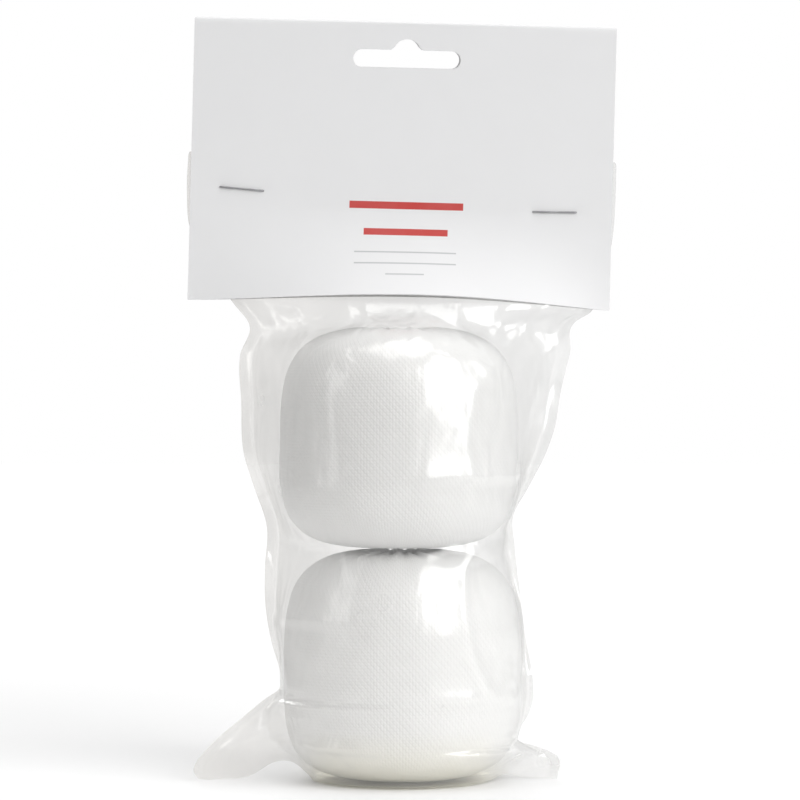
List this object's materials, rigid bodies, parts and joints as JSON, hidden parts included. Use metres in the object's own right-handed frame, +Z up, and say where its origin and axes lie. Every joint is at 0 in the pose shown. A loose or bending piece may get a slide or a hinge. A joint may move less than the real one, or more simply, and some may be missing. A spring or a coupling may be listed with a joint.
{
  "type": "chalk ball retail pack",
  "caption": "Knitted chalk balls stacked in a clear welded film bag, closed by a folded white header card with a hang slot and wire staples.",
  "frame": {"origin": "on the surface the pack stands on, below the middle of the header card and of the bag's depth", "axes": "+Z up, +X to the right along the card's width, -Y towards the printed front"},
  "size_m": [0.1233, 0.0696, 0.217],
  "materials": {
    "clear_film": "gloss",
    "card": "satin",
    "wire": "satin",
    "knit": "matte",
    "chalk": "matte",
    "thread": "matte"
  },
  "bodies": {
    "bag": {"bag_film": "clear_film"},
    "header": {"header_card": "card", "bag_mouth": "clear_film", "staple_left": "wire", "staple_right": "wire"},
    "upper_ball": {"upper_ball_cover": "knit", "upper_ball_chalk": "chalk", "upper_ball_tie": "thread"},
    "lower_ball": {"lower_ball_cover": "knit", "lower_ball_chalk": "chalk", "lower_ball_tie": "thread"}
  },
  "joints": [
    {"name": "header_tilt", "type": "hinge", "parent": "bag", "child": "header", "pos_m": [-0.00107, 0, 0.1342], "axis": [0.9997, 0, -0.0262], "range_deg": [-30, 30], "stiffness_Nm_per_rad": 0.02},
    {"name": "upper_ball_turn", "type": "hinge", "parent": "bag", "child": "upper_ball", "pos_m": [-0.001, 0, 0.097], "axis": [0, 0, 1], "continuous": true},
    {"name": "lower_ball_turn", "type": "hinge", "parent": "bag", "child": "lower_ball", "pos_m": [0, 0, 0.0326], "axis": [0, 0, 1], "continuous": true}
  ]
}
